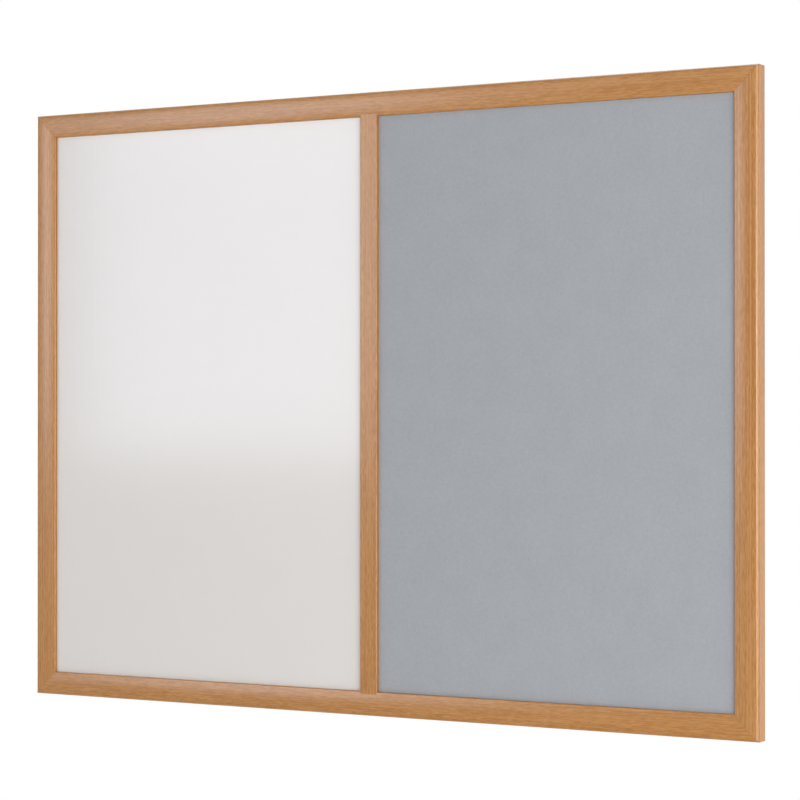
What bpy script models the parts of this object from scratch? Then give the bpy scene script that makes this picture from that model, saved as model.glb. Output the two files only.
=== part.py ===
"""A combination board for a wall: a whiteboard and a noticeboard side by side in a mitred frame.

Metres, +Z up. The board's front faces -Y and its back lies on the wall plane, y = 0. The origin is
the middle of the back. An inset is a distance from the board's outer edge towards its middle.
"""

from math import asin, cos, hypot, pi, radians, sin

import bmesh
import bpy
from mathutils import Matrix, Vector

MM = 0.001

# Whole board
board_width = 1200 * MM
board_height = 900 * MM
fit = 0.3 * MM  # left between pieces that touch
weld_distance = 0.001 * MM  # closes the seams of a mesh made from a curve or a profile

# Panels, as thick as each other so that their faces are level
panel_thickness = 10 * MM
steel_thickness = 0.6 * MM
fabric_thickness = 1.0 * MM
fabric_hem = 18 * MM  # turned over onto the back of the soft board
back_sheet_thickness = 3 * MM

# Frame moulding
frame_width = 35 * MM
rebate_width = 10 * MM
crown_radius = 110 * MM  # of the face's shallow curve
crown_inset = 11 * MM  # to the highest line of the face
outer_radius = 5 * MM
nose_radius = 1.5 * MM
lip_land = 3.5 * MM  # the flat part of the lip's inner face
rear_chamfer = 0.7 * MM

# Mullion and the batten behind it
mullion_width = 28 * MM
mullion_thickness = 5.9 * MM
mullion_edge_radius = 1.2 * MM
mullion_overrun = 3.2 * MM  # how far its face runs onto each rail's curve
tongue_width = 12 * MM
batten_width = 44 * MM
batten_thickness = 6.7 * MM
batten_edge_radius = 1.0 * MM

# V-shaped corner nails
nail_leg = 5 * MM
nail_thickness = 0.6 * MM
nail_height = 10 * MM
nail_half_angle = 60  # degrees between each leg and the mitre line
nail_place_shares = (0.38, 0.74)  # along the mitre, from the outer corner

# Hanger plates with keyhole slots
hanger_end_distance = 150 * MM  # from the board's top or bottom to the plate's middle
plate_length = 46 * MM
plate_width = 16 * MM
plate_thickness = 1.5 * MM
plate_screw_spacing = 36 * MM
keyhole_radius = 4.5 * MM
keyslot_width = 4.8 * MM
keyslot_rise = 9 * MM  # from the round hole's centre to the slot's end arc's centre
pocket_width = 12 * MM
pocket_depth = 7 * MM  # under the plate
pocket_margin = 2 * MM  # past the keyhole at each end

# Screws
screw_head_radius = 3.2 * MM
screw_shank_radius = 1.5 * MM
screw_rim_height = 0.3 * MM
screw_cone_height = 1.9 * MM
screw_tip_length = 3 * MM
plate_screw_length = 12 * MM
batten_screw_length = 15 * MM
batten_screw_shares = (-0.92, -0.32, 0.32, 0.92)  # of half the batten's length

# Glazing points
point_length = 15 * MM
point_width = 7 * MM
point_thickness = 0.8 * MM
point_bite = 4.5 * MM  # driven into the rebate's wall
rail_point_shares = (-0.8, -0.3, 0.3, 0.8)  # of half the rebate's width
stile_point_shares = (-0.82, 0.0, 0.82)  # of half the rebate's height

# How finely curves are cut
outer_arc_steps = 8
crown_arc_steps = 16
nose_arc_steps = 6
round_steps = 24
overrun = 2 * MM  # cutters reach this far past what they cut

# Worked out from the sizes above
outer_tilt = asin((crown_inset - outer_radius) / (crown_radius - outer_radius))
lip_tilt = asin((frame_width - nose_radius - crown_inset) / (crown_radius - nose_radius))
outer_centre = crown_radius - (crown_radius - outer_radius) * cos(outer_tilt)
nose_centre = crown_radius - (crown_radius - nose_radius) * cos(lip_tilt)
rear_band = frame_width - rebate_width
panel_back = batten_thickness + fit
panel_front = panel_back + panel_thickness
rebate_depth = panel_front + fit
frame_depth = rebate_depth + lip_land + nose_centre
half_width = board_width / 2
half_height = board_height / 2
rebate_half_height = half_height - rear_band
rebate_half_width = half_width - rear_band
tongue_half_height = rebate_half_height - fit
mullion_front = rebate_depth + mullion_thickness
panel_half_height = rebate_half_height - fit
panel_inner_x = tongue_width / 2 + fit
panel_outer_x = rebate_half_width - fit
back_sheet_front = panel_back - fit
back_sheet_back = back_sheet_front - back_sheet_thickness
point_front = back_sheet_back - fit
hanger_x = half_width - rear_band / 2
hanger_z = half_height - hanger_end_distance
keyslot_radius = keyslot_width / 2
keyhole_drop = keyslot_rise / 2  # the round hole's centre lies this far below the plate's middle


# Scene and materials


def clear_scene():
    for item in list(bpy.data.objects):
        bpy.data.objects.remove(item, do_unlink=True)


def new_collection(name):
    collection = bpy.data.collections.new(name)
    bpy.context.scene.collection.children.link(collection)
    return collection


def new_material(name, colour, roughness, metallic=0.0):
    material = bpy.data.materials.new(name)
    material.use_nodes = True
    material.diffuse_color = (*colour, 1)
    shader = material.node_tree.nodes["Principled BSDF"]
    shader.inputs["Base Color"].default_value = (*colour, 1)
    shader.inputs["Roughness"].default_value = roughness
    shader.inputs["Metallic"].default_value = metallic
    return material


# Making meshes


def keep(obj, material=None):
    """Puts the object in the board's collection, or among the cutters if it has no material."""
    if material is None:
        cutters.objects.link(obj)
        obj.hide_render = True
        obj.display_type = "WIRE"
    else:
        board.objects.link(obj)
        obj.data.materials.clear()
        obj.data.materials.append(material)
    return obj


def mesh_object(name, bm):
    mesh = bpy.data.meshes.new(name)
    bmesh.ops.recalc_face_normals(bm, faces=bm.faces)
    bm.to_mesh(mesh)
    bm.free()
    return bpy.data.objects.new(name, mesh)


def box(name, low, high, material=None):
    """A box between two corners."""
    low, high = Vector(low), Vector(high)
    bm = bmesh.new()
    bmesh.ops.create_cube(bm, size=1)
    bmesh.ops.scale(bm, vec=high - low, verts=bm.verts)
    obj = mesh_object(name, bm)
    obj.location = (low + high) / 2
    return keep(obj, material)


def prism(name, outlines, height, matrix, material=None):
    """Closed outlines in the XY plane, the second and later ones as holes, raised from z = 0."""
    curve = bpy.data.curves.new(name, "CURVE")
    curve.dimensions = "2D"
    curve.fill_mode = "BOTH"
    curve.extrude = height / 2
    for outline in outlines:
        spline = curve.splines.new("POLY")
        spline.points.add(len(outline) - 1)
        for point, (x, y) in zip(spline.points, outline):
            point.co = (x, y, 0, 1)
        spline.use_cyclic_u = True
    drawn = bpy.data.objects.new(name + "_curve", curve)
    bpy.context.scene.collection.objects.link(drawn)
    drawn.matrix_world = matrix @ Matrix.Translation((0, 0, height / 2))
    bpy.context.view_layer.update()
    evaluated = drawn.evaluated_get(bpy.context.evaluated_depsgraph_get())
    mesh = bpy.data.meshes.new_from_object(evaluated)
    bm = bmesh.new()
    bm.from_mesh(mesh)
    bmesh.ops.remove_doubles(bm, verts=bm.verts, dist=weld_distance)
    obj = mesh_object(name, bm)
    obj.matrix_world = drawn.matrix_world
    bpy.data.objects.remove(drawn, do_unlink=True)
    bpy.data.meshes.remove(mesh)
    return keep(obj, material)


def turned(name, profile, matrix, material=None):
    """A profile of (radius, height) points, from the top down, turned about local Z."""
    bm = bmesh.new()
    verts = [bm.verts.new((radius, 0, height)) for radius, height in profile]
    for first, second in zip(verts, verts[1:]):
        bm.edges.new((first, second))
    mesh = bpy.data.meshes.new(name)
    bm.to_mesh(mesh)
    bm.free()
    obj = bpy.data.objects.new(name, mesh)
    spin = obj.modifiers.new("Turn", "SCREW")
    spin.angle = 2 * pi
    spin.steps = spin.render_steps = round_steps
    spin.use_merge_vertices = True
    spin.merge_threshold = weld_distance
    spin.use_normal_calculate = True
    obj.matrix_world = matrix
    return keep(obj, material)


def join(target, tool):
    union = target.modifiers.new(tool.name, "BOOLEAN")
    union.operation = "UNION"
    union.solver = "EXACT"
    union.object = tool


def cut(target, tool):
    """Takes the tool out of the target. One Boolean makes all of the target's cuts together."""
    name = f"{target.name}_cutters"
    tools = bpy.data.collections.get(name)
    if tools is None:
        tools = bpy.data.collections.new(name)
        cutters.children.link(tools)
        cuts = target.modifiers.new("Cuts", "BOOLEAN")
        cuts.solver = "EXACT"
        cuts.operand_type = "COLLECTION"
        cuts.collection = tools
    tools.objects.link(tool)


def round_edges(obj, radius, steps):
    bevel = obj.modifiers.new("Eased edges", "BEVEL")
    bevel.width = radius
    bevel.segments = steps
    bevel.limit_method = "ANGLE"


def smooth(obj):
    obj.data.shade_smooth()
    obj.data.set_sharp_from_angle(angle=pi / 6)


def arc(centre, radius, start, end, steps):
    """Points on an arc, both ends included; angles in radians from +x towards +y."""
    turns = [start + (end - start) * i / steps for i in range(steps + 1)]
    return [(centre[0] + radius * cos(t), centre[1] + radius * sin(t)) for t in turns]


# Where a drawing's x, y and z go in the board

# x to the right, y up and z towards the viewer, with z = 0 on the wall plane.
FROM_WALL = Matrix.Rotation(pi / 2, 4, "X")


def edge_frame(turns):
    """A board edge's own frame: x is the inset, y the depth, and z runs along from its middle.

    turns counts quarter turns clockwise from the left edge: left, top, right and bottom.
    """
    reach = half_height if turns % 2 else half_width
    return Matrix.Rotation(turns * pi / 2, 4, "Y") @ Matrix.Translation((-reach, 0, 0))


# Frame


def moulding_front(spread=0.0):
    """The moulding's outline from its outer side to the foot of its lip, as (inset, depth) points.

    Each arc runs smoothly into the next. spread moves the outline that far inwards and forwards,
    to cut what is scribed to it.
    """
    outer_end, crown_end = 1.5 * pi - outer_tilt, 1.5 * pi + lip_tilt
    side = arc((outer_radius, outer_centre - frame_depth), outer_radius, pi, outer_end, outer_arc_steps)
    crown = arc(
        (crown_inset, crown_radius - frame_depth), crown_radius, outer_end, crown_end, crown_arc_steps
    )
    nose = arc(
        (frame_width - nose_radius, nose_centre - frame_depth),
        nose_radius,
        crown_end,
        2 * pi,
        nose_arc_steps,
    )
    line = side + crown[1:] + nose[1:]
    return [(inset + spread, depth - spread) for inset, depth in line]


def moulding_outline():
    rear = [
        (frame_width, -rebate_depth),
        (rear_band, -rebate_depth),
        (rear_band, 0),
        (rear_chamfer, 0),
        (0, -rear_chamfer),
    ]
    return [moulding_front() + rear]


def mitre_outline(length, sign):
    """What is sawn off one end of a member at 45 degrees, as (inset, place along it) points."""
    end = length / 2 - fit / 2 * hypot(1, 1)
    inner = frame_width + overrun
    beyond = length / 2 + 2 * overrun
    line = [(-overrun, end + overrun), (inner, end - inner), (inner, beyond), (-overrun, beyond)]
    return [[(inset, sign * along) for inset, along in line]]


def frame_member(name, turns):
    """One length of the moulding, mitred at both ends."""
    length = board_width if turns % 2 else board_height
    edge = edge_frame(turns)
    start = Matrix.Translation((0, 0, -length / 2))
    member = prism(name, moulding_outline(), length, edge @ start, oak)
    for sign in (-1, 1):
        waste = prism(
            f"{name}_mitre_{sign}",
            mitre_outline(length, sign),
            frame_depth + 2 * overrun,
            edge @ Matrix.Translation((0, overrun, 0)) @ FROM_WALL,
        )
        cut(member, waste)
    smooth(member)
    return member


# Corner nails


def nail_outline(spread=0.0):
    """A V whose point is on the mitre at (0, 0), with the outer corner towards +y."""
    tilt = radians(nail_half_angle)
    half = nail_thickness / 2 + spread
    reach = nail_leg + spread
    point = half / sin(tilt)
    end_x, end_y = reach * sin(tilt), -reach * cos(tilt)
    across_x, across_y = half * cos(tilt), half * sin(tilt)
    return [
        [
            (0, point),
            (end_x + across_x, end_y + across_y),
            (end_x - across_x, end_y - across_y),
            (0, -point),
            (across_x - end_x, end_y - across_y),
            (-end_x - across_x, end_y + across_y),
        ]
    ]


def corner_nails(corner, side_x, side_z, members):
    """Two nails across one mitre, each in a slot cut in both members."""
    for number, share in enumerate(nail_place_shares, 1):
        x = side_x * (half_width - share * rear_band)
        z = side_z * (half_height - share * rear_band)
        turn = Matrix.Rotation(-side_x * (pi / 4 if side_z > 0 else 3 * pi / 4), 4, "Z")
        place = Matrix.Translation((x, 0, z)) @ FROM_WALL @ turn
        name = f"corner_nail_{corner}_{number}"
        prism(name, nail_outline(), nail_height, place, zinc)
        slot = prism(
            name + "_slot",
            nail_outline(fit),
            nail_height + fit + overrun,
            place @ Matrix.Translation((0, 0, -overrun)),
        )
        for member in members:
            cut(member, slot)


# Screws


def screw_profile(length, spread=0.0, above=0.0):
    """A countersunk screw as (radius, height) points, its head's top at height 0.

    spread widens and deepens it, and above raises its top, to cut the hole that it goes into.
    """
    head = screw_head_radius + spread
    shank = screw_shank_radius + spread
    tip = -length - spread
    return [
        (0, above),
        (head, above),
        (head, -screw_rim_height),
        (shank, -screw_rim_height - screw_cone_height),
        (shank, tip + screw_tip_length),
        (0, tip),
    ]


def screw(name, x, z, length, holders):
    """A screw driven in from the back at (x, z), flush with the wall plane, and its holes."""
    place = Matrix.Translation((x, 0, z)) @ Matrix.Rotation(-pi / 2, 4, "X")
    turned(name, screw_profile(length), place, zinc)
    hole = turned(name + "_hole", screw_profile(length, fit, overrun), place)
    for holder in holders:
        cut(holder, hole)


# Hanger plates


def stadium(length, width):
    """A strip with round ends, running along y, centred on (0, 0)."""
    radius = width / 2
    straight = length / 2 - radius
    top = arc((0, straight), radius, 0, pi, round_steps // 2)
    bottom = arc((0, -straight), radius, pi, 2 * pi, round_steps // 2)
    return top + bottom


def keyhole_outline():
    """A round hole with a narrower slot rising from it."""
    half_neck = asin(keyslot_radius / keyhole_radius)
    centre = (0, -keyhole_drop)
    hole = arc(centre, keyhole_radius, pi / 2 + half_neck, 2.5 * pi - half_neck, round_steps)
    slot = arc((0, keyslot_rise - keyhole_drop), keyslot_radius, 0, pi, round_steps // 2)
    return hole + slot


def hanger(corner, side_x, side_z, stile):
    """A keyhole plate let into the stile's back over a pocket for the wall screw's head."""
    x, z = side_x * hanger_x, side_z * hanger_z
    at = Matrix.Translation((x, 0, z)) @ FROM_WALL
    plate = prism(
        f"hanger_plate_{corner}",
        [stadium(plate_length, plate_width), keyhole_outline()],
        plate_thickness,
        at,
        zinc,
    )
    cut_from = at @ Matrix.Translation((0, 0, -overrun))
    recess_length, recess_width = plate_length + 2 * fit, plate_width + 2 * fit
    recess_depth = plate_thickness + fit
    pocket_length = keyslot_rise + keyhole_radius + keyslot_radius + 2 * pocket_margin
    pocket_shift = (keyslot_radius - keyhole_radius) / 2
    recess = prism(
        f"{plate.name}_recess",
        [stadium(recess_length, recess_width)],
        recess_depth + overrun,
        cut_from,
    )
    pocket = prism(
        f"{plate.name}_pocket",
        [stadium(pocket_length, pocket_width)],
        recess_depth + pocket_depth + overrun,
        cut_from @ Matrix.Translation((0, pocket_shift, 0)),
    )
    cut(stile, recess)
    cut(stile, pocket)
    for end, sign in (("upper", 1), ("lower", -1)):
        screw_z = z + sign * plate_screw_spacing / 2
        name = f"hanger_screw_{corner}_{end}"
        screw(name, x, screw_z, plate_screw_length, [plate, stile])
    smooth(plate)


# Panels, mullion and batten


def whiteboard():
    sheet_back = panel_front - steel_thickness
    box(
        "whiteboard_sheet",
        (-panel_outer_x, -panel_front, -panel_half_height),
        (-panel_inner_x, -sheet_back, panel_half_height),
        white_steel,
    )
    box(
        "whiteboard_core",
        (-panel_outer_x, fit - sheet_back, -panel_half_height),
        (-panel_inner_x, -panel_back, panel_half_height),
        fibreboard,
    )


def noticeboard():
    """Fabric wrapped round a soft board, with a hem turned over onto its back."""
    low = Vector((panel_inner_x, -panel_front, -panel_half_height))
    high = Vector((panel_outer_x, -panel_back, panel_half_height))
    bm = bmesh.new()
    bmesh.ops.create_cube(bm, size=1)
    bmesh.ops.scale(bm, vec=high - low, verts=bm.verts)
    bm.faces.ensure_lookup_table()
    back = max(bm.faces, key=lambda face: face.calc_center_median().y)
    bmesh.ops.inset_region(bm, faces=[back], thickness=fabric_hem, use_even_offset=True)
    bmesh.ops.delete(bm, geom=[back], context="FACES_ONLY")
    fabric = mesh_object("noticeboard_fabric", bm)
    fabric.location = (low + high) / 2
    wrap = fabric.modifiers.new("Cloth thickness", "SOLIDIFY")
    wrap.thickness = fabric_thickness
    wrap.offset = -1
    wrap.use_even_offset = True
    keep(fabric, grey_felt)
    inside = Vector.Fill(3, fabric_thickness + fit)
    box("noticeboard_core", low + inside, high - inside, softboard)


def back_sheets():
    for side, sign in (("left", -1), ("right", 1)):
        edges = sorted((sign * (batten_width / 2 + fit), sign * panel_outer_x))
        box(
            f"back_sheet_{side}",
            (edges[0], -back_sheet_front, -panel_half_height),
            (edges[1], -back_sheet_back, panel_half_height),
            hardboard,
        )


def mullion_face_outline():
    """The face strip's section as (x, depth) points, with its front edges rounded."""
    x = mullion_width / 2 - mullion_edge_radius
    front = mullion_edge_radius - mullion_front
    left = arc((-x, front), mullion_edge_radius, pi, 1.5 * pi, nose_arc_steps)
    right = arc((x, front), mullion_edge_radius, 1.5 * pi, 2 * pi, nose_arc_steps)
    back = [(mullion_width / 2, -rebate_depth), (-mullion_width / 2, -rebate_depth)]
    return [left + right + back]


def mullion():
    """A T-section: its face lies over both panels and its tongue runs between them, behind the lips."""
    face_half = half_height - frame_width + mullion_overrun
    strip = prism(
        "mullion",
        mullion_face_outline(),
        2 * face_half,
        Matrix.Translation((0, 0, -face_half)),
        oak,
    )
    tongue = box(
        "mullion_tongue",
        (-tongue_width / 2, -rebate_depth - mullion_thickness / 2, -tongue_half_height),
        (tongue_width / 2, -panel_back, tongue_half_height),
    )
    join(strip, tongue)
    scribe = moulding_front(fit) + [(frame_width + fit, -panel_front), (0, -panel_front)]
    for side, turns in (("top", 1), ("bottom", 3)):
        start = Matrix.Translation((0, 0, -mullion_width / 2 - overrun))
        length = mullion_width + 2 * overrun
        tool = prism(f"mullion_scribe_{side}", [scribe], length, edge_frame(turns) @ start)
        cut(strip, tool)
    smooth(strip)
    return strip


def batten(strip):
    """The batten behind the mullion, its screws running through it into the tongue."""
    bar = box(
        "rear_batten",
        (-batten_width / 2, -batten_thickness, -tongue_half_height),
        (batten_width / 2, 0, tongue_half_height),
        pine,
    )
    round_edges(bar, batten_edge_radius, 2)
    for number, share in enumerate(batten_screw_shares, 1):
        z = share * tongue_half_height
        screw(f"batten_screw_{number}", 0, z, batten_screw_length, [bar, strip])


# Glazing points


def point_outline(spread=0.0):
    """A flat point lying along x, its tip at an inset of rear_band - point_bite."""
    half = point_width / 2 + spread
    tip = rear_band - point_bite - spread
    shoulder = rear_band - fit + spread
    tail = rear_band - point_bite + point_length + spread
    return [[(tip, 0), (shoulder, -half), (tail, -half), (tail, half), (shoulder, half)]]


def glazing_points(edge, turns, shares, member):
    reach = rebate_half_width if turns % 2 else rebate_half_height
    for number, share in enumerate(shares, 1):
        along = edge_frame(turns) @ Matrix.Translation((0, 0, share * reach)) @ FROM_WALL
        place = along @ Matrix.Translation((0, 0, point_front - point_thickness))
        name = f"glazing_point_{edge}_{number}"
        prism(name, point_outline(), point_thickness, place, zinc)
        slot = prism(
            name + "_slot",
            point_outline(fit),
            point_thickness + 2 * fit,
            place @ Matrix.Translation((0, 0, -fit)),
        )
        cut(member, slot)


# The whole board


def build():
    names = ("left_stile", "top_rail", "right_stile", "bottom_rail")
    frame = {name: frame_member(name, turns) for turns, name in enumerate(names)}
    for across, side_x in (("left", -1), ("right", 1)):
        stile = frame[f"{across}_stile"]
        for up, side_z in (("top", 1), ("bottom", -1)):
            corner_nails(f"{up}_{across}", side_x, side_z, [stile, frame[f"{up}_rail"]])
            hanger(f"{up}_{across}", side_x, side_z, stile)
    whiteboard()
    noticeboard()
    back_sheets()
    batten(mullion())
    glazing_points("left", 0, stile_point_shares, frame["left_stile"])
    glazing_points("top", 1, rail_point_shares, frame["top_rail"])
    glazing_points("right", 2, stile_point_shares, frame["right_stile"])
    glazing_points("bottom", 3, rail_point_shares, frame["bottom_rail"])


clear_scene()
board = new_collection("combination_board")
cutters = new_collection("cutters")
oak = new_material("light_oak_foil", (0.50, 0.24, 0.09), 0.45)
white_steel = new_material("white_coated_steel", (0.86, 0.86, 0.85), 0.12)
grey_felt = new_material("grey_felt", (0.37, 0.39, 0.42), 0.95)
softboard = new_material("soft_fibreboard", (0.42, 0.30, 0.18), 0.95)
fibreboard = new_material("fibreboard", (0.38, 0.26, 0.15), 0.85)
hardboard = new_material("hardboard", (0.20, 0.11, 0.06), 0.6)
pine = new_material("pine", (0.66, 0.46, 0.26), 0.7)
zinc = new_material("zinc_plated_steel", (0.62, 0.63, 0.64), 0.35, 1.0)
build()
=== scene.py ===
from math import cos, pi, radians, sin

import bmesh
import bpy
from mathutils import Matrix, Vector, noise


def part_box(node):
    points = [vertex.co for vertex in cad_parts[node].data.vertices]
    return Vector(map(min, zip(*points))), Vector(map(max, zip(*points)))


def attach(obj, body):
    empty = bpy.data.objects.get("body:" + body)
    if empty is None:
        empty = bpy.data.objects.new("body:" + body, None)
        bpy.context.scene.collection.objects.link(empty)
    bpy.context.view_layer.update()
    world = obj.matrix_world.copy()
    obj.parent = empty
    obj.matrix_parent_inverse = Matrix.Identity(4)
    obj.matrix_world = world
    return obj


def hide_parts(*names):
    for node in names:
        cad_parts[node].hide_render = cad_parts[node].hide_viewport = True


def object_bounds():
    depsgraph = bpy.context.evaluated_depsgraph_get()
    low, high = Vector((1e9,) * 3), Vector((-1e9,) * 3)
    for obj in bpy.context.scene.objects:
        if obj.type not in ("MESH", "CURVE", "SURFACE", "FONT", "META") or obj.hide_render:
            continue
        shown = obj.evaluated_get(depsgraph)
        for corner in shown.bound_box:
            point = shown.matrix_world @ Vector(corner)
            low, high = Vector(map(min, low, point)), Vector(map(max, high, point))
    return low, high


# The looks of a wall-hung combination board. Metres, +Z up, front towards -Y, back on y = 0.

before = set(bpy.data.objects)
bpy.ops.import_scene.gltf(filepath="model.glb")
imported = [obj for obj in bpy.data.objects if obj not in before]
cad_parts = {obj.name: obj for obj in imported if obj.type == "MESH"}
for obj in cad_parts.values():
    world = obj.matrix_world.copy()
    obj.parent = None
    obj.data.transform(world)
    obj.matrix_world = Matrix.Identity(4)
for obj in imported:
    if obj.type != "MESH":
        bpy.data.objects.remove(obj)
cad_low, cad_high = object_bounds()

MM = 0.001
WHOLE_TURN = 2 * pi

# Camera, fitted to the photograph's straight edges
LENS = 113.68
SENSOR = 36
CAMERA_PLACE = (1.849, -3.164, -0.0143)
CAMERA_TURN = 29.764  # degrees to the board's left of straight on
CAMERA_PITCH = 0.311  # degrees up

# Light
AMBIENT = 0.39
AMBIENT_FROM_RIGHT = 0.3  # added towards the board's right, the brighter side of the room
LAMP_WATTS = pi  # for a square metre of lamp at a radiance of 1
PLAIN_LIGHT = (1, 1, 1)
COOL_LIGHT = (0.92, 0.985, 1.13)
# Upright lamps that face the board: name, azimuth in degrees to the right of straight on as seen by
# someone facing the board, distance, width, heights of the lower and upper edge, radiance, colour
SOFTBOXES = [
    ("Key softbox", -35.1, 4.05, 1.09, -0.145, 1.15, 2.85, COOL_LIGHT),
    ("Key spill", -27.5, 3.9, 2.0, 0.7, 1.6, 0.34, PLAIN_LIGHT),
    ("Right softbox", 47, 3.9, 2.0, -0.97, 0.68, 5.55, PLAIN_LIGHT),
    ("Side softbox", 80, 3.9, 2.2, -0.85, 0.95, 2.1, PLAIN_LIGHT),
    # These two and the top softbox stand behind the board's face and light its other sides alone
    ("Rear softbox", 186, 3.9, 2.9, -1.1, 1.6, 1.25, PLAIN_LIGHT),
    ("Left softbox", -113, 3.9, 3.0, -1.1, 1.6, 1.3, PLAIN_LIGHT),
]
TOP_SOFTBOX_PLACE = (0, 1.5, 3.2)
TOP_SOFTBOX_SIZE = (3.2, 2.6)
TOP_SOFTBOX_RADIANCE = 1.4

# Floor, which fades to the white background far off
FLOOR_Z = -1.45
FLOOR_HALF = 20
FLOOR_FADE_START = 2.6
FLOOR_FADE_END = 4.2

# Colours, linear
OAK_DARK = (0.396, 0.145, 0.0066)
OAK_LIGHT = (0.525, 0.2335, 0.0525)
OAK_PORE = (0.296, 0.1025, 0.0045)
RAW_BOARD = (0.40, 0.27, 0.155)
WHITE = (0.790, 0.753, 0.718)
GREY = (0.399, 0.415, 0.442)
HARDBOARD = (0.175, 0.095, 0.048)
PINE_DARK = (0.560, 0.360, 0.180)
PINE_LIGHT = (0.720, 0.520, 0.310)
SOFTBOARD = (0.42, 0.30, 0.18)
ZINC = (0.50, 0.51, 0.535)
FLOOR_PAINT = (0.84, 0.84, 0.84, 1)
BACKGROUND = (1, 1, 1, 1)

# Grain of the foil on each member: its axis (0, 1, 2 for x, y, z), how much of it runs in straight
# lines from end to end, and how strong its short streaks are
GRAIN = {
    "top_rail": (0, 0.22, 1.1),
    "bottom_rail": (0, 0.25, 1.15),
    "left_stile": (2, 0.34, 0.75),
    "right_stile": (2, 0.65, 1.05),
    "mullion": (2, 0.30, 1.1),
}
GRAIN_SHIFT = 3.7  # from one member's place in the print to the next one's
FOIL_TURN = 5 * MM  # the strip of foil turned over onto the members' back
REAR_FACE_Y = -0.05 * MM  # what lies behind this is the members' rear face

# CAD pieces
JOINT_SWELL = 0.11 * MM  # on each side of a gap of 0.3 mm
WELD_DISTANCE = 0.005 * MM
EASED_ANGLE = radians(40)  # edges sharper than this are eased
SHADED_SHARP_ANGLE = radians(24)
PLATE_EDGE = 0.2 * MM
NAIL_EDGE = 0.08 * MM

# Cloth on the noticeboard
CLOTH_THICKNESS = 1.0 * MM
CLOTH_HEM = 18 * MM
CLOTH_FOLD_RADIUS = 1.6 * MM
CLOTH_FOLD_STEPS = 5
CLOTH_STEP = 12 * MM  # between the mesh's lines on its flat stretches
CLOTH_UNEVENNESS = 0.06 * MM
CLOTH_UNEVEN_SPAN = 45 * MM
SAME_PLANE = 0.001 * MM

# Screws
HEAD_RADIUS = 3.2 * MM
HEAD_RIM = 0.3 * MM
HEAD_CONE = 1.9 * MM
HEAD_EDGE = 0.15 * MM
CREST_RADIUS = 1.5 * MM
ROOT_RADIUS = 1.08 * MM
THREAD_PITCH = 1.3 * MM
THREAD_SLOPE = 2.2  # of the thread's flanks, 1 being a thread with no flat root
TIP_LENGTH = 3 * MM
RING_STEP = 0.16 * MM
SCREW_SIDES = 28
SCREW_SHARP_ANGLE = radians(35)
SCREW_TURN = 0.7  # radians from one screw's cross to the next one's
RECESS_DEPTH = 1.5 * MM
RECESS_OVERRUN = RECESS_DEPTH / 4  # above the head
RECESS_REACH = 1.75 * MM
RECESS_ARM = 0.72 * MM
RECESS_REACH_LEFT = 0.35  # share of the reach that is left at the recess's bottom
RECESS_ARM_LEFT = 0.6


# Small helpers


def scaled(colour, factor):
    return tuple(channel * factor for channel in colour)


def grey(value):
    return (value,) * 3


def add_object(name, data):
    obj = bpy.data.objects.new(name, data)
    bpy.context.scene.collection.objects.link(obj)
    return obj


def mesh_of(bm, name):
    """The mesh that a bmesh holds; the bmesh is freed."""
    mesh = bpy.data.meshes.new(name)
    bm.to_mesh(mesh)
    bm.free()
    return mesh


# Node trees


class Nodes:
    """Short ways to add and link the nodes of one tree."""

    def __init__(self, tree):
        self.tree = tree

    def node(self, kind, **settings):
        """Adds a node; sockets are set or linked by their own names, with _ for a space."""
        made = self.tree.nodes.new("ShaderNode" + kind)
        for key, value in settings.items():
            socket = made.inputs.get(key.replace("_", " "))
            if socket is None:
                setattr(made, key, value)
            else:
                self.feed(socket, value)
        return made

    def feed(self, socket, value):
        if isinstance(value, bpy.types.NodeSocket):
            self.tree.links.new(value, socket)
        elif isinstance(value, bpy.types.Node):
            self.tree.links.new(value.outputs[0], socket)
        else:
            socket.default_value = value

    def math(self, operation, first, second=0.0):
        made = self.node("Math", operation=operation)
        self.feed(made.inputs[0], first)
        self.feed(made.inputs[1], second)
        return made.outputs[0]

    def mix_shaders(self, fac, first, second):
        made = self.node("MixShader", Fac=fac)
        self.feed(made.inputs[1], first)
        self.feed(made.inputs[2], second)
        return made

    def seen_light(self):
        """1 for the rays that should meet a white background: camera, glossy and transmission."""
        path = self.node("LightPath").outputs
        total = path["Is Camera Ray"]
        for name in ("Is Glossy Ray", "Is Transmission Ray"):
            total = self.math("MAXIMUM", total, path[name])
        return total


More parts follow.
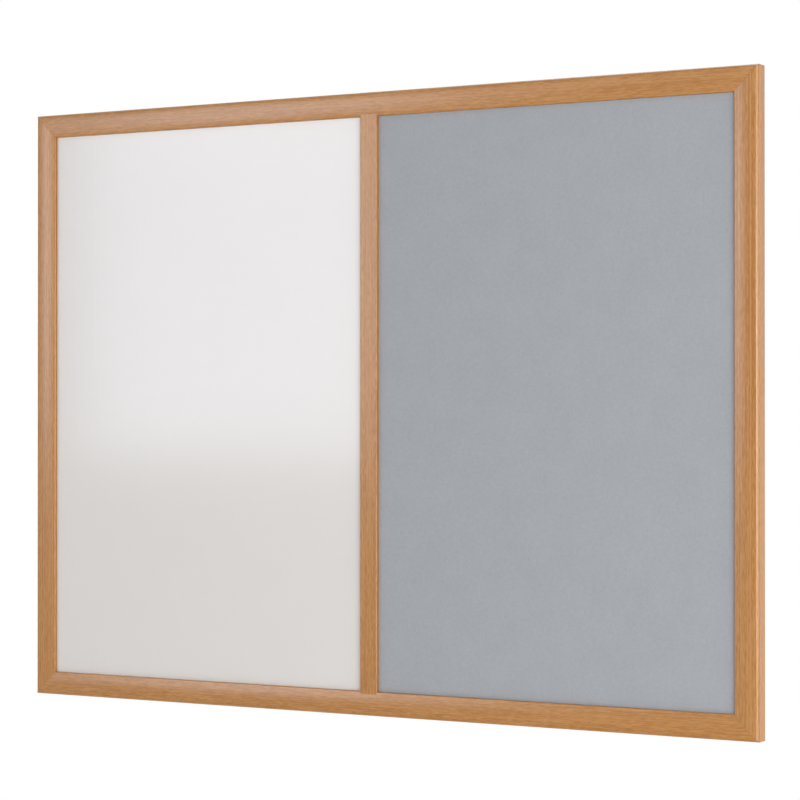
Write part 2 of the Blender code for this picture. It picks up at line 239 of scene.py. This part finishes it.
class Shader(Nodes):
    """A Principled material, with the textures that the board's materials are made of."""

    def __init__(self, name, **settings):
        self.material = bpy.data.materials.new(name)
        self.material.use_nodes = True
        super().__init__(self.material.node_tree)
        self.bsdf = self.tree.nodes["Principled BSDF"]
        for socket, value in settings.items():
            self.set(socket.replace("_", " "), value)

    def set(self, name, value):
        self.feed(self.bsdf.inputs[name], value)

    def place(self, scale, shift=(0, 0, 0)):
        """The board's own coordinates as a texture's Vector, scale being in waves a metre."""
        if not isinstance(scale, tuple):
            scale = (scale,) * 3
        at = self.node("TexCoord").outputs["Object"]
        return self.node("Mapping", Vector=at, Location=shift, Scale=scale)

    def noise(self, vector, detail=3.0, roughness=0.5, distortion=0.0):
        made = self.node(
            "TexNoise",
            Vector=vector,
            Scale=1.0,
            Detail=detail,
            Roughness=roughness,
            Distortion=distortion,
        )
        return made.outputs["Fac"]

    def ramp(self, fac, low, high, start=(0, 0, 0), end=(1, 1, 1)):
        """A colour that goes from start to end as fac goes from low to high."""
        made = self.node("ValToRGB", Fac=fac)
        first, last = made.color_ramp.elements
        first.position, last.position = low, high
        first.color, last.color = (*start, 1), (*end, 1)
        return made.outputs["Color"]

    def mix(self, fac, first, second, blend="MIX"):
        made = self.node("Mix", data_type="RGBA", blend_type=blend)
        self.feed(made.inputs["Factor"], fac)
        for name, value in (("A", first), ("B", second)):
            if isinstance(value, tuple):
                value = (*value, 1)
            sockets = [s for s in made.inputs if s.name == name and s.type == "RGBA"]
            self.feed(sockets[0], value)
        return [s for s in made.outputs if s.type == "RGBA"][0]

    def blend(self, first, second, share):
        """The sum of two values, share being the second one's part of it."""
        rest = self.math("MULTIPLY", first, 1 - share)
        return self.math("ADD", rest, self.math("MULTIPLY", second, share))

    def bump(self, height, distance, strength, under=None):
        made = self.node("Bump", Height=height, Distance=distance, Strength=strength)
        if under is not None:
            self.feed(made.inputs["Normal"], under)
        return made.outputs["Normal"]


# Materials


def stretched(axis, along, across):
    """A texture scale with one value along an axis (0, 1, 2 for x, y, z) and another across it."""
    return tuple(along if i == axis else across for i in range(3))


def oak_foil(name, axis, shift, lined, broken):
    """Printed light oak foil with its grain along one axis, over a raw fibreboard back."""
    shader = Shader(name, Roughness=0.25, IOR=1.68)
    layers = [  # waves a metre along and across the grain, detail, distortion, strength
        (85, 850, 3, 0.0, 0.74 * broken),
        (27, 620, 3, 0.1, 0.46 * broken),
        (5, 420, 2, 0.0, 0.28),
        (1.6, 55, 2, 0.0, 0.10),
        (1.1, 520, 1, 0.0, lined),
    ]
    tone = 0.5
    streaks = []
    for number, (along, across, detail, distortion, strength) in enumerate(layers):
        spot = shader.place(stretched(axis, along, across), (shift, shift + number, shift))
        streaks.append(shader.noise(spot, detail, 0.55, distortion))
        centred = shader.math("SUBTRACT", streaks[-1], 0.5)
        tone = shader.math("ADD", shader.math("MULTIPLY", centred, strength), tone)
    pore_place = shader.place(stretched(axis, 55, 1500), (0, shift, shift))
    pore = shader.ramp(shader.noise(pore_place, detail=2), 0.60, 0.72)
    print_colour = shader.mix(
        shader.math("MULTIPLY", pore, 0.45),
        shader.ramp(tone, 0.385, 0.615, OAK_DARK, OAK_LIGHT),
        OAK_PORE,
    )
    dust = shader.noise(shader.place(900), detail=4, roughness=0.7)
    raw = shader.ramp(dust, 0.3, 0.7, scaled(RAW_BOARD, 0.82), scaled(RAW_BOARD, 1.15))
    shader.set("Base Color", shader.mix(raw_back_mask(shader), print_colour, raw))
    height = shader.math("SUBTRACT", shader.math("MULTIPLY", streaks[0], 0.4), pore)
    shader.set("Normal", shader.bump(height, 0.02 * MM, 0.6))
    return shader.material


def raw_back_mask(shader):
    """1 on the members' rear face, inside the strip of foil turned over from the outer side."""
    at = shader.node("TexCoord").outputs["Object"]
    x, y, z = shader.node("SeparateXYZ", Vector=at).outputs
    mask = shader.math("GREATER_THAN", y, REAR_FACE_Y)
    for place, half_size in ((x, cad_high.x), (z, cad_high.z)):
        distance = shader.math("ABSOLUTE", place)
        inside = shader.math("LESS_THAN", distance, half_size - FOIL_TURN)
        mask = shader.math("MULTIPLY", mask, inside)
    return mask


def white_steel():
    """Glossy white coating with a faint haze of wiped ink."""
    shader = Shader("white_coated_steel", Roughness=0.13, IOR=1.61)
    haze = shader.noise(shader.place((3, 3, 2.2)), detail=3, roughness=0.55, distortion=0.6)
    wiped = shader.noise(shader.place((14, 14, 60)), detail=4, roughness=0.6)
    tone = shader.blend(haze, wiped, 0.3)
    darker, lighter = scaled(WHITE, 0.985), scaled(WHITE, 1.012)
    shader.set("Base Color", shader.ramp(tone, 0.3, 0.7, darker, lighter))
    peel = shader.noise(shader.place(420), detail=1)
    shader.set("Normal", shader.bump(peel, 0.002 * MM, 0.5))
    return shader.material


def grey_felt():
    """Needled felt: short tangled fibres, with faint cloudy patches."""
    shader = Shader("grey_felt", Roughness=0.95, IOR=1.4, Sheen_Weight=0.15, Sheen_Roughness=0.5)
    fibres = shader.noise(shader.place(900), detail=6, roughness=0.72, distortion=1.6)
    tufts = shader.noise(shader.place(240), detail=3, roughness=0.6, distortion=0.8)
    clouds = shader.noise(shader.place(26), detail=3, roughness=0.55)
    dark, light = scaled(GREY, 0.86), scaled(GREY, 1.14)
    fine = shader.ramp(fibres, 0.25, 0.75, dark, light)
    tufted = shader.mix(0.35, fine, shader.ramp(tufts, 0.3, 0.7, dark, light))
    cloudy = shader.ramp(clouds, 0.3, 0.7, grey(0.980), grey(1.018))
    shader.set("Base Color", shader.mix(1.0, tufted, cloudy, "MULTIPLY"))
    rough = shader.bump(fibres, 0.25 * MM, 0.7)
    shader.set("Normal", shader.bump(tufts, 0.3 * MM, 0.5, rough))
    return shader.material


def hardboard():
    """The rough side of hardboard, with the fine mesh of the press screen."""
    shader = Shader("hardboard", Roughness=0.62, IOR=1.45)
    dust = shader.noise(shader.place(700), detail=5, roughness=0.7)
    patches = shader.noise(shader.place(30), detail=3)
    tone = shader.blend(dust, patches, 0.2)
    dark, light = scaled(HARDBOARD, 0.72), scaled(HARDBOARD, 1.35)
    shader.set("Base Color", shader.ramp(tone, 0.32, 0.68, dark, light))
    waves = []
    for direction in ("X", "Z"):
        wave = shader.node(
            "TexWave",
            wave_type="BANDS",
            bands_direction=direction,
            Vector=shader.place(1),
            Scale=220.0,
        )
        waves.append(wave.outputs["Fac"])
    shader.set("Normal", shader.bump(shader.math("MULTIPLY", *waves), 0.15 * MM, 0.8))
    return shader.material


def pine():
    """Planed softwood with its grain along the batten."""
    shader = Shader("pine", Roughness=0.55, IOR=1.45)
    rings = shader.noise(shader.place((70, 70, 1.2)), detail=4, roughness=0.55, distortion=1.2)
    fibres = shader.noise(shader.place((900, 900, 14)))
    late = shader.ramp(rings, 0.42, 0.62, PINE_LIGHT, PINE_DARK)
    shade = shader.ramp(fibres, 0.3, 0.7, grey(0.9), grey(1.08))
    shader.set("Base Color", shader.mix(1.0, late, shade, "MULTIPLY"))
    shader.set("Normal", shader.bump(fibres, 0.08 * MM, 0.5))
    return shader.material


def raw_board(name, colour, speck_scale):
    """Pressed wood fibre, such as the edge of a board."""
    shader = Shader(name, Roughness=0.9, IOR=1.4)
    place = shader.place((speck_scale, speck_scale * 1.6, speck_scale))
    specks = shader.noise(place, detail=5, roughness=0.75)
    dark, light = scaled(colour, 0.7), scaled(colour, 1.25)
    shader.set("Base Color", shader.ramp(specks, 0.3, 0.7, dark, light))
    shader.set("Normal", shader.bump(specks, 0.15 * MM, 0.6))
    return shader.material


def zinc_steel():
    """Bright zinc plating with faint spangle and drawing marks."""
    shader = Shader("zinc_plated_steel", Metallic=1.0)
    spangle = shader.node("TexVoronoi", Vector=shader.place(1), Scale=900.0).outputs["Color"]
    dark, light = scaled(ZINC, 0.88), scaled(ZINC, 1.1)
    shader.set("Base Color", shader.ramp(spangle, 0.0, 1.0, dark, light))
    marks = shader.noise(shader.place((2600, 2600, 160)), detail=2)
    shader.set("Roughness", shader.ramp(marks, 0.25, 0.75, grey(0.26), grey(0.42)))
    shader.set("Normal", shader.bump(marks, 0.01 * MM, 0.5))
    return shader.material


# Meshes


def piece(name, mesh, material, slot, *stands_for):
    """A finished piece of the board, in place, with the CAD nodes that it stands for."""
    obj = add_object(name, mesh)
    obj.data.materials.clear()
    obj.data.materials.append(material)
    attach(obj, "root")
    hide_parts(*stands_for)
    return obj


def finish_cad_node(name, material, edge=0.0, swell=0.0):
    """Gives a CAD node its material, smooth shading on its curves and, if asked, eased edges.

    swell moves its surface outwards, where a joint is tighter than the CAD's gap.
    """
    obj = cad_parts[name]
    obj.data.materials.clear()
    obj.data.materials.append(material)
    obj.data.shade_smooth()
    weld = obj.modifiers.new("Weld", "WELD")
    weld.merge_threshold = WELD_DISTANCE
    if swell:
        grown = obj.modifiers.new("Closed joints", "DISPLACE")
        grown.strength = swell
        grown.mid_level = 0
    if edge:
        bevel = obj.modifiers.new("Eased edges", "BEVEL")
        bevel.width = edge
        bevel.segments = 2
        bevel.limit_method = "ANGLE"
        bevel.angle_limit = EASED_ANGLE
    split = obj.modifiers.new("Sharp edges", "EDGE_SPLIT")
    split.split_angle = SHADED_SHARP_ANGLE
    obj.modifiers.new("Flat faces stay flat", "WEIGHTED_NORMAL")


def fold_line(low, high, front, back):
    """The cloth's section across the board, from one hem to the other, low and high being the
    board's sides: points (place across, depth) on its outer face.
    """
    r, steps = CLOTH_FOLD_RADIUS, CLOTH_FOLD_STEPS
    line = [(low + CLOTH_HEM, back)]
    corners = [
        ((low + r, back - r), pi / 2, pi),
        ((low + r, front + r), pi, 1.5 * pi),
        ((high - r, front + r), 1.5 * pi, 2 * pi),
        ((high - r, back - r), 0, pi / 2),
    ]
    for number, (centre, start, end) in enumerate(corners):
        for i in range(steps + 1):
            t = start + (end - start) * i / steps
            line.append((centre[0] + r * cos(t), centre[1] + r * sin(t)))
        if number == 1:
            first, span = line[-1][0], high - low - 2 * r
            count = round(span / CLOTH_STEP)
            line += [(first + span * i / count, front) for i in range(1, count)]
    line.append((high - CLOTH_HEM, back))
    return line


def cloth_mesh(across, along, front):
    """The felt's outer face, between two sections of it, with its corners cut out on the sides."""
    bm = bmesh.new()
    verts = {}

    def on_front(line, i):
        return line[i][1] <= front + SAME_PLANE

    def vert(i, j):
        if (i, j) not in verts:
            (x, y_across), (z, y_along) = across[i], along[j]
            y = max(y_across, y_along)
            if on_front(across, i) and on_front(along, j):
                at = Vector((x, 0, z)) / CLOTH_UNEVEN_SPAN
                y += CLOTH_UNEVENNESS * noise.noise(at)
            verts[i, j] = bm.verts.new((x, y, z))
        return verts[i, j]

    for i in range(len(across) - 1):
        for j in range(len(along) - 1):
            flat_x = on_front(across, i) and on_front(across, i + 1)
            flat_z = on_front(along, j) and on_front(along, j + 1)
            if flat_x or flat_z:
                bm.faces.new((vert(i, j), vert(i + 1, j), vert(i + 1, j + 1), vert(i, j + 1)))
    bmesh.ops.recalc_face_normals(bm, faces=bm.faces)
    mesh = mesh_of(bm, "noticeboard_cloth")
    mesh.shade_smooth()
    return mesh


def cloth_wrap():
    """One cut of felt drawn round the soft board, its corners cut out, its hems on the back."""
    low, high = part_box("noticeboard_fabric")
    across = fold_line(low.x, high.x, low.y, high.y)
    along = fold_line(low.z, high.z, low.y, high.y)
    mesh = cloth_mesh(across, along, low.y)
    cloth = piece("noticeboard_cloth", mesh, grey_felt(), "grey_felt", "noticeboard_fabric")
    thick = cloth.modifiers.new("Cloth thickness", "SOLIDIFY")
    thick.thickness = CLOTH_THICKNESS
    thick.offset = -1


def thread_radius(depth, turn, length):
    """The screw's radius at a depth, turn being the share of a whole turn round it."""
    taper = min(1, (length - depth) / TIP_LENGTH)
    wave = abs(2 * ((depth / THREAD_PITCH + turn) % 1) - 1)
    ridge = max(0, 1 - wave * THREAD_SLOPE)
    return taper * (ROOT_RADIUS + (CREST_RADIUS - ROOT_RADIUS) * ridge)


def screw_mesh(length):
    """A countersunk wood screw along +Y, its head's top at y = 0, with a cross recess."""
    shank_start = HEAD_RIM + HEAD_CONE
    rings = [  # radius, or None where the thread sets it, and depth
        (HEAD_RADIUS - HEAD_EDGE, 0),
        (HEAD_RADIUS, HEAD_EDGE),
        (HEAD_RADIUS, HEAD_RIM),
        (ROOT_RADIUS, shank_start),
    ]
    depth = shank_start + RING_STEP
    while depth < length - RING_STEP:
        rings.append((None, depth))
        depth += RING_STEP
    bm = bmesh.new()
    loops = []
    for radius, depth in rings:
        loop = []
        for side in range(SCREW_SIDES):
            turn = side / SCREW_SIDES
            r = thread_radius(depth, turn, length) if radius is None else radius
            angle = turn * WHOLE_TURN
            loop.append(bm.verts.new((r * cos(angle), depth, r * sin(angle))))
        loops.append(loop)
    for first, second in zip(loops, loops[1:]):
        for i in range(SCREW_SIDES):
            j = (i + 1) % SCREW_SIDES
            bm.faces.new((first[i], first[j], second[j], second[i]))
    bm.faces.new(loops[0])
    tip = bm.verts.new((0, length, 0))
    for i in range(SCREW_SIDES):
        bm.faces.new((loops[-1][i], loops[-1][(i + 1) % SCREW_SIDES], tip))
    bmesh.ops.recalc_face_normals(bm, faces=bm.faces)
    return cut_cross(mesh_of(bm, "screw"))


def cross_tool():
    """The tapered cross that a screwdriver leaves, above and below y = 0."""
    bm = bmesh.new()
    for turn in (0, pi / 2):
        made = bmesh.ops.create_cube(bm, size=1)["verts"]
        for v in made:
            deep = v.co.y > 0
            reach = RECESS_REACH * (RECESS_REACH_LEFT if deep else 1.0)
            arm = RECESS_ARM / 2 * (RECESS_ARM_LEFT if deep else 1.0)
            y = RECESS_DEPTH if deep else -RECESS_OVERRUN
            v.co = (2 * v.co.x * reach, y, 2 * v.co.z * arm)
        bmesh.ops.rotate(bm, verts=made, cent=(0, 0, 0), matrix=Matrix.Rotation(turn, 3, "Y"))
    return mesh_of(bm, "cross_tool")


def cut_cross(mesh):
    body = add_object("screw_body", mesh)
    tool = add_object("screw_cross", cross_tool())
    cut = body.modifiers.new("Cross", "BOOLEAN")
    cut.solver = "EXACT"
    cut.use_self = True
    cut.object = tool
    evaluated = body.evaluated_get(bpy.context.evaluated_depsgraph_get())
    made = bpy.data.meshes.new_from_object(evaluated)
    for obj in (body, tool):
        bpy.data.objects.remove(obj)
    made.shade_smooth()
    made.set_sharp_from_angle(angle=SCREW_SHARP_ANGLE)
    return made


def screws(material):
    """Threaded screws with cross recesses, in the places of the plain CAD ones."""
    meshes = {}
    for number, node in enumerate(sorted(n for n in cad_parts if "_screw_" in n)):
        low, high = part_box(node)
        length = round(abs(low.y) / MM) * MM
        if length not in meshes:
            meshes[length] = screw_mesh(length)
            meshes[length].transform(Matrix.Rotation(pi, 4, "Z"))
        centre = (low + high) / 2
        mesh = meshes[length].copy()
        turned = Matrix.Rotation(number * SCREW_TURN, 4, "Y")
        mesh.transform(Matrix.Translation((centre.x, 0, centre.z)) @ turned)
        piece(f"{node}_detailed", mesh, material, "zinc_steel", node)


# Stage


def set_camera():
    data = bpy.data.cameras.new("Camera")
    data.lens = LENS
    data.sensor_width = SENSOR
    camera = add_object("Camera", data)
    camera.location = CAMERA_PLACE
    camera.rotation_euler = (radians(90 + CAMERA_PITCH), 0, radians(CAMERA_TURN))
    bpy.context.scene.camera = camera


def add_lamp(name, size, place, turn, radiance, colour):
    data = bpy.data.lights.new(name, "AREA")
    data.shape = "RECTANGLE"
    data.size, data.size_y = size
    data.energy = radiance * size[0] * size[1] * LAMP_WATTS
    data.color = colour
    lamp = add_object(name, data)
    lamp.location = place
    lamp.rotation_euler = turn
    lamp.visible_camera = False


def set_lights():
    for name, azimuth, distance, width, low, high, radiance, colour in SOFTBOXES:
        a = radians(azimuth)
        place = (distance * sin(a), -distance * cos(a), (low + high) / 2)
        add_lamp(name, (width, high - low), place, (pi / 2, 0, a), radiance, colour)
    add_lamp(
        "Top softbox",
        TOP_SOFTBOX_SIZE,
        TOP_SOFTBOX_PLACE,
        (0, 0, 0),
        TOP_SOFTBOX_RADIANCE,
        PLAIN_LIGHT,
    )


def set_world():
    world = bpy.data.worlds.new("World")
    bpy.context.scene.world = world
    world.use_nodes = True
    nodes = Nodes(world.node_tree)
    direction = nodes.node("TexCoord").outputs["Generated"]
    strength = nodes.node(
        "MapRange",
        Value=nodes.node("SeparateXYZ", Vector=direction).outputs["X"],
        To_Min=AMBIENT,
        To_Max=AMBIENT + AMBIENT_FROM_RIGHT,
    )
    lit = nodes.tree.nodes["Background"]
    nodes.feed(lit.inputs["Color"], BACKGROUND)
    nodes.feed(lit.inputs["Strength"], strength)
    shown = nodes.node("Background", Color=BACKGROUND, Strength=1)
    surface = nodes.mix_shaders(nodes.seen_light(), lit, shown)
    nodes.feed(nodes.tree.nodes["World Output"].inputs["Surface"], surface)


def floor_paint():
    """Pale paint that glows white far off, for the rays that see the background."""
    shader = Shader("floor", Base_Color=FLOOR_PAINT, Roughness=0.9)
    place = shader.node("TexCoord").outputs["Object"]
    fade = shader.node(
        "MapRange",
        interpolation_type="SMOOTHSTEP",
        Value=shader.node("VectorMath", operation="LENGTH", Vector=place).outputs["Value"],
        From_Min=FLOOR_FADE_START,
        From_Max=FLOOR_FADE_END,
    )
    share = shader.math("MULTIPLY", fade, shader.seen_light())
    surface = shader.mix_shaders(share, shader.bsdf, shader.node("Emission"))
    shader.feed(shader.tree.nodes["Material Output"].inputs["Surface"], surface)
    return shader.material


def make_floor():
    bm = bmesh.new()
    bmesh.ops.create_grid(bm, x_segments=1, y_segments=1, size=FLOOR_HALF)
    floor = add_object("floor", mesh_of(bm, "floor"))
    floor.location.z = FLOOR_Z
    floor.data.materials.append(floor_paint())


# The whole scene


def dress_frame():
    for number, (name, (axis, lined, broken)) in enumerate(GRAIN.items()):
        foil = oak_foil(f"light_oak_{name}", axis, number * GRAIN_SHIFT, lined, broken)
        finish_cad_node(name, foil, swell=JOINT_SWELL)


def dress_hidden_pieces(zinc):
    finish_cad_node("rear_batten", pine())
    finish_cad_node("whiteboard_core", raw_board("fibreboard", RAW_BOARD, 900))
    finish_cad_node("noticeboard_core", raw_board("softboard", SOFTBOARD, 500))
    brown = hardboard()
    for side in ("left", "right"):
        finish_cad_node(f"back_sheet_{side}", brown)
    for name in sorted(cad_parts):
        if name.startswith(("corner_nail", "glazing_point")):
            finish_cad_node(name, zinc, NAIL_EDGE)
        elif name.startswith("hanger_plate"):
            finish_cad_node(name, zinc, PLATE_EDGE)


def main():
    bpy.context.scene.view_settings.view_transform = "Standard"
    set_camera()
    set_world()
    set_lights()
    make_floor()
    dress_frame()
    finish_cad_node("whiteboard_sheet", white_steel())
    zinc = zinc_steel()
    dress_hidden_pieces(zinc)
    cloth_wrap()
    screws(zinc)


main()
